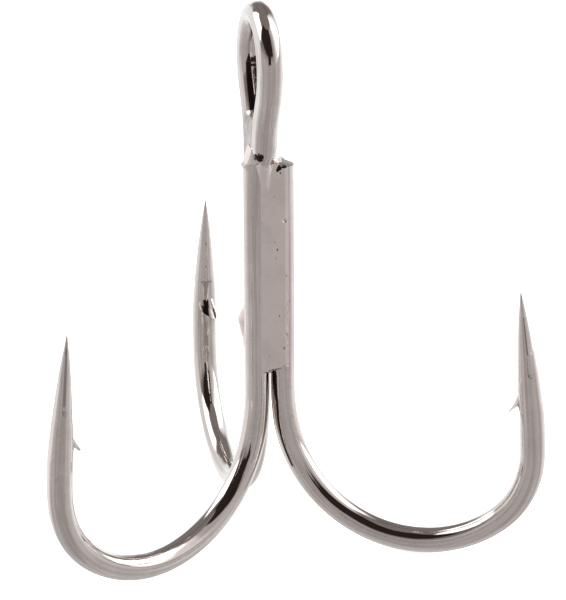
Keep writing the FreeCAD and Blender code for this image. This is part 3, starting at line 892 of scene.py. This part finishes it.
def hollow_shade_mask(nodes, place):
    """How much painted shade a point gets, inside the hollows beside the tail."""
    total = 0.0
    ragged = nodes.math("SUBTRACT", nodes.noise(place, scale=3600.0, detail=3.0), 0.5)
    for centre, radii in SHADED_HOLLOWS:
        centre = tuple(number * MM for number in centre)
        stretch = tuple(1 / (number * MM) for number in radii)
        scaled = nodes.scaled(nodes.vector("SUBTRACT", place, centre)[0], stretch)
        reach = nodes.vector("LENGTH", scaled)["Value"]
        reach = nodes.math("MULTIPLY_ADD", ragged, 0.9, reach)
        total = nodes.math("MAXIMUM", total, nodes.ramp(reach, 0.82, 1.0, 1.0, 0.0))
    return total


def plated(name, reflection_and_shade_streaks=None, colours=(FILLER, FILLER_DULL), rough=(0.13, 0.24)):
    """Bright nickel over steel: lengthwise marks on wire with painted dark reflections and shade as
    streaks, a cast skin on braze, painted shade in hollows and in the braze's pits.
    """
    material = bpy.data.materials.new(name)
    material.use_nodes = True
    nodes = Nodes(material.node_tree)
    place = nodes.add("ShaderNodeTexCoord").outputs["Object"]
    cloudy = nodes.noise(place, scale=420.0, detail=3.0)
    fine = nodes.noise(place, scale=5200.0, detail=3.0)
    speck = nodes.ramp(nodes.noise(place, scale=2300.0, detail=1.0), 0.70, 0.78)
    marks_and_shade = nodes.parts(nodes.attribute("marks_and_shade"))
    # painted shade in the hollows beside the tail
    shade_and_seam = hollow_shade_mask(nodes, place)
    relief = nodes.math("MULTIPLY", fine, 0.3)
    if reflection_and_shade_streaks is not None:
        grain = nodes.attribute("grain")
        parts = nodes.parts(grain)
        angle = nodes.math("DEGREES", nodes.math("ARCTAN2", parts[1], parts[0]))
        broad = nodes.noise(nodes.scaled(grain, (4.0, 4.0, 0.08)), scale=1.0, detail=2.0)
        lines = nodes.noise(nodes.scaled(grain, (22.0, 22.0, 0.45)), scale=1.0, detail=3.0, roughness=0.6)
        tone = nodes.sway(fine, 0.22, nodes.sway(cloudy, 0.35, nodes.sway(lines, 0.30, broad)))
        colour = nodes.mix(nodes.ramp(tone, 0.30, 0.66), NICKEL_DULL, NICKEL)
        rough = nodes.ramp(cloudy, 0.3, 0.8, 0.025, 0.055)
        rough = nodes.math("MULTIPLY_ADD", marks_and_shade[0], 0.07, rough)
        relief = nodes.math("MULTIPLY_ADD", lines, 0.5, relief)
        dashes = nodes.noise(nodes.scaled(grain, (9.0, 9.0, 2.6)), scale=1.0, detail=2.0)
        colour = nodes.mix(nodes.ramp(dashes, 0.70, 0.76, 0.0, 0.45), colour, OXIDE_AND_SHADE)
        # painted dark reflections and shade, as streaks along the wire
        dark = reflection_and_shade_mask(nodes, angle, parts[2], reflection_and_shade_streaks)
        colour = nodes.mix(nodes.math("MULTIPLY", marks_and_shade[1], 0.55), colour, OXIDE_AND_SHADE)
        colour = nodes.mix(nodes.math("MINIMUM", dark, 1.0), colour, OXIDE_AND_SHADE)
        # the darkest streak cores turn to painted black shade
        shade_and_seam = nodes.math("MAXIMUM", shade_and_seam, nodes.ramp(dark, 1.0, 1.35))
    else:
        skin = nodes.noise(place, scale=1100.0, detail=4.0, roughness=0.6)
        colour = nodes.mix(nodes.ramp(nodes.sway(skin, 0.5, cloudy), 0.38, 0.68), *colours)
        rough = nodes.ramp(skin, 0.35, 0.75, *rough)
        relief = nodes.math("MULTIPLY_ADD", skin, 0.6, relief)
        # painted shade in the braze's pits and under its lip, and its dark seam line
        shade_and_seam = nodes.math("MAXIMUM", shade_and_seam, marks_and_shade[0])
    colour = nodes.mix(nodes.math("MULTIPLY", speck, 0.25), colour, OXIDE_AND_SHADE)
    colour = nodes.mix(shade_and_seam, colour, SHADE_AND_SEAM_BLACK)
    rough = nodes.math("MULTIPLY_ADD", shade_and_seam, 0.4, rough)
    strength = BRAZE_BUMP if reflection_and_shade_streaks is None else WIRE_BUMP
    inputs = {"Strength": strength, "Distance": BUMP_HEIGHT, "Height": relief}
    bump = nodes.add("ShaderNodeBump", inputs).outputs[0]
    inputs = {"Base Color": colour, "Metallic": 1.0, "Roughness": rough, "Normal": bump}
    shader = nodes.add("ShaderNodeBsdfPrincipled", inputs)
    nodes.add("ShaderNodeOutputMaterial", {"Surface": shader.outputs[0]})
    return material


# ---- the pieces ----

BRAZE_FINISH = plated("nickel_braze")
NECK_FINISH = plated("nickel_neck_braze", colours=(NECK_GREY, NECK_DULL), rough=(0.18, 0.32))
BEAD_FINISH = plated("nickel_bead_braze", rough=(0.34, 0.50))


def place_piece(piece, node, finish):
    piece.data.materials.append(finish)
    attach(piece, BODY)
    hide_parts(node)


def build_wires():
    left = wire_piece("left_wire", single_route(), HOOKS["left"], 0.0, 11, left_burr)
    place_piece(left, "left_hook", plated("nickel_left_wire", REFLECTION_AND_SHADE_STREAKS["left"]))
    right = wire_piece("right_wire", single_route(), HOOKS["right"], 0.0, 12, right_slope)
    place_piece(right, "right_hook", plated("nickel_right_wire", REFLECTION_AND_SHADE_STREAKS["right"]))
    eyed = wire_piece("eyed_wire", eyed_route(), HOOKS["eyed"], EYED_SIDEWAYS, 13, taper_tail)
    place_piece(eyed, "eyed_hook", plated("nickel_eyed_wire", REFLECTION_AND_SHADE_STREAKS["eyed"]))


def build_braze():
    place_piece(front_web(), "front_braze", BRAZE_FINISH)
    rear_left = groove_bar("rear_left_fillet", EYED, LEFT, 0.66, 0.55, 41, rear_lump)
    place_piece(rear_left, "rear_left_braze", BEAD_FINISH)
    rear_right = groove_bar("rear_right_fillet", RIGHT, EYED, 0.74, 0.58, 51)
    place_piece(rear_right, "rear_right_braze", BRAZE_FINISH)
    place_piece(neck_fillet(), "neck_braze", NECK_FINISH)
    place_piece(left_end_fillet(), "left_end_braze", BRAZE_FINISH)
    place_piece(right_end_fillet(), "right_end_braze", BRAZE_FINISH)
    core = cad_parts["core_braze"]
    core.data.materials.clear()
    core.data.materials.append(BRAZE_FINISH)


# ---- surroundings ----

VIEW_AZIMUTH = math.radians(13.30)
VIEW_ELEVATION = math.radians(18.0)
VIEW_ROLL = math.radians(-0.34)
VIEW_TARGET = np.array([1.171, -0.277, 19.696])
VIEW_DISTANCE = 265.0
LENS = 203.2
VIEW_RIGHT = np.array([math.cos(VIEW_AZIMUTH), -math.sin(VIEW_AZIMUTH), 0.0])
VIEW_FRONT = np.array([-math.sin(VIEW_AZIMUTH), -math.cos(VIEW_AZIMUTH), 0.0])
SENSOR_WIDTH = 36.0


def make_camera():
    back = math.cos(VIEW_ELEVATION) * VIEW_FRONT + np.array([0.0, 0.0, math.sin(VIEW_ELEVATION)])
    up = np.cross(back, VIEW_RIGHT)
    rolled_right = math.cos(VIEW_ROLL) * VIEW_RIGHT + math.sin(VIEW_ROLL) * up
    rolled_up = np.cross(back, rolled_right)
    data = bpy.data.cameras.new("camera")
    data.lens = LENS
    data.sensor_width = SENSOR_WIDTH
    data.clip_start = 0.01
    data.clip_end = 20.0
    camera = bpy.data.objects.new("camera", data)
    spot = (VIEW_TARGET + VIEW_DISTANCE * back) * MM
    turn = Matrix((rolled_right, rolled_up, back)).transposed().to_4x4()
    camera.matrix_world = Matrix.Translation(Vector(spot)) @ turn
    bpy.context.scene.collection.objects.link(camera)
    bpy.context.scene.camera = camera


# Brightness of the tent's cloth, of its dark openings, of the table in front and at the sides, and of
# the soft boxes
TENT = 0.215
OPENING = 0.026
TABLE = 0.43
TABLE_SIDES = 0.53
SOFT_BOX = 2.6

# Soft boxes and openings of the light tent: azimuth to the right of the camera and elevation, in
# degrees, as (from, to, softness) each, and how bright the part is.
TENT_PARTS = (
    ((-150, -80, 12), (-14, 24, 12), 0.95),  # left glow
    ((38, 200, 10), (2, 66, 8), 0.52),  # right glow
    ((62, 150, 16), (6, 64, 8), 1.0),  # brighter middle of the right glow
    ((142, 230, 12), (20, 95, 9), TENT),  # tent's back
    ((-130, -72, 7), (22, 54, 6), SOFT_BOX),  # left soft box
    ((82, 131, 10), (8, 61, 7), SOFT_BOX),  # right soft box
    ((146, 172, 8), (-8, 11, 5), 1.2),  # rear right glow
    ((-10, 13, 3), (7, 26, 2), OPENING),  # gap in front
)

WARM_DARK = (1.0, 0.73, 0.65, 1.0)
WARM_GREY = (1.0, 0.925, 0.895, 1.0)
WARM_WHITE = (1.0, 0.985, 0.975, 1.0)
COOL_WHITE = (0.955, 0.99, 1.0, 1.0)


def edge(nodes, number, place, soft):
    """A soft edge: 0 to 1 as the number passes place, or 1 to 0 where soft is negative."""
    if soft > 0:
        return nodes.ramp(number, place - soft / 2, place + soft / 2)
    return nodes.ramp(number, place + soft / 2, place - soft / 2, 1.0, 0.0)


def between(nodes, number, low, high, soft):
    """1 between two soft edges and 0 outside them."""
    return nodes.math("MULTIPLY", edge(nodes, number, low, soft), edge(nodes, number, high, -soft))


def front_opening(nodes, azimuth, elevation):
    """The dark opening in front, whose lower edge rises to the left."""
    rise = nodes.math("MAXIMUM", nodes.math("MULTIPLY_ADD", azimuth, -0.24, 15.5), 19.5)
    above = nodes.ramp(nodes.math("SUBTRACT", elevation, rise), -1.2, 1.2)
    below = edge(nodes, elevation, 69, -3)
    across = between(nodes, azimuth, -66, 36, 4)
    return nodes.math("MULTIPLY", nodes.math("MULTIPLY", above, below), across)


def make_world():
    world = bpy.data.worlds.new("studio")
    bpy.context.scene.world = world
    world.use_nodes = True
    nodes = Nodes(world.node_tree)
    ray = nodes.add("ShaderNodeTexCoord").outputs["Generated"]
    right = nodes.vector("DOT_PRODUCT", ray, VIEW_RIGHT)["Value"]
    front = nodes.vector("DOT_PRODUCT", ray, VIEW_FRONT)["Value"]
    azimuth = nodes.math("DEGREES", nodes.math("ARCTAN2", right, front))
    elevation = nodes.math("DEGREES", nodes.math("ARCSINE", nodes.parts(ray)[2]))
    sideways = nodes.math("ABSOLUTE", azimuth)
    table = nodes.ramp(sideways, 34.0, 56.0, TABLE, TABLE_SIDES)
    behind = nodes.ramp(sideways, 68.0, 128.0)
    outer = nodes.math("MULTIPLY", behind, nodes.ramp(elevation, -48.0, -22.0, 0.15, 1.0))
    table = nodes.math("MULTIPLY_ADD", outer, 0.55, table)
    light = nodes.blend(nodes.ramp(elevation, 8.0, 22.0), table, TENT)
    for wide, high, bright in TENT_PARTS:
        mask = nodes.math("MULTIPLY", between(nodes, azimuth, *wide), between(nodes, elevation, *high))
        light = nodes.blend(mask, light, bright)
    light = nodes.blend(front_opening(nodes, azimuth, elevation), light, OPENING)
    tint = nodes.mix(nodes.linear(light, OPENING, TENT, 0.0, 1.0), WARM_DARK, WARM_GREY)
    tint = nodes.mix(nodes.linear(light, TENT, TABLE, 0.0, 1.0), tint, WARM_WHITE)
    cool = nodes.math("MULTIPLY", nodes.ramp(sideways, 60.0, 110.0), nodes.ramp(light, 0.3, 0.6))
    tint = nodes.mix(cool, tint, COOL_WHITE)
    shader = nodes.add("ShaderNodeBackground", {"Color": tint, "Strength": light})
    nodes.add("ShaderNodeOutputWorld", {"Surface": shader.outputs[0]})


FLOOR_REACH = 3.0
PAPER = (0.93, 0.93, 0.93, 1.0)
PAPER_DULL = (0.90, 0.90, 0.895, 1.0)


def make_floor():
    mesh = bpy.data.meshes.new("floor")
    corners = [(x * FLOOR_REACH, y * FLOOR_REACH, 0) for x, y in ((-1, -1), (1, -1), (1, 1), (-1, 1))]
    mesh.from_pydata(corners, [], [(0, 1, 2, 3)])
    floor = bpy.data.objects.new("floor", mesh)
    bpy.context.scene.collection.objects.link(floor)
    material = bpy.data.materials.new("floor_paper")
    material.use_nodes = True
    nodes = Nodes(material.node_tree)
    place = nodes.add("ShaderNodeTexCoord").outputs["Object"]
    tone = nodes.mix(nodes.noise(place, scale=14.0), PAPER_DULL, PAPER)
    inputs = {"Base Color": tone, "Roughness": 0.9, "Emission Color": tone, "Emission Strength": 0.85}
    shader = nodes.add("ShaderNodeBsdfPrincipled", inputs)
    nodes.add("ShaderNodeOutputMaterial", {"Surface": shader.outputs[0]})
    mesh.materials.append(material)
    floor.visible_glossy = False


OVERHEAD_SIZE = 1.6
OVERHEAD_POWER = 16.0
OVERHEAD_PLACE = (0.0, 0.2, 1.2)


def make_light():
    """A wide soft light overhead that lights the floor; the tent itself lights the metal."""
    data = bpy.data.lights.new("overhead", "AREA")
    data.shape = "DISK"
    data.size = OVERHEAD_SIZE
    data.energy = OVERHEAD_POWER
    light = bpy.data.objects.new("overhead", data)
    light.location = OVERHEAD_PLACE
    light.visible_glossy = False
    bpy.context.scene.collection.objects.link(light)


make_camera()
make_world()
make_floor()
make_light()
build_wires()
build_braze()
bpy.context.scene.view_settings.view_transform = "Standard"

bpy.context.view_layer.update()
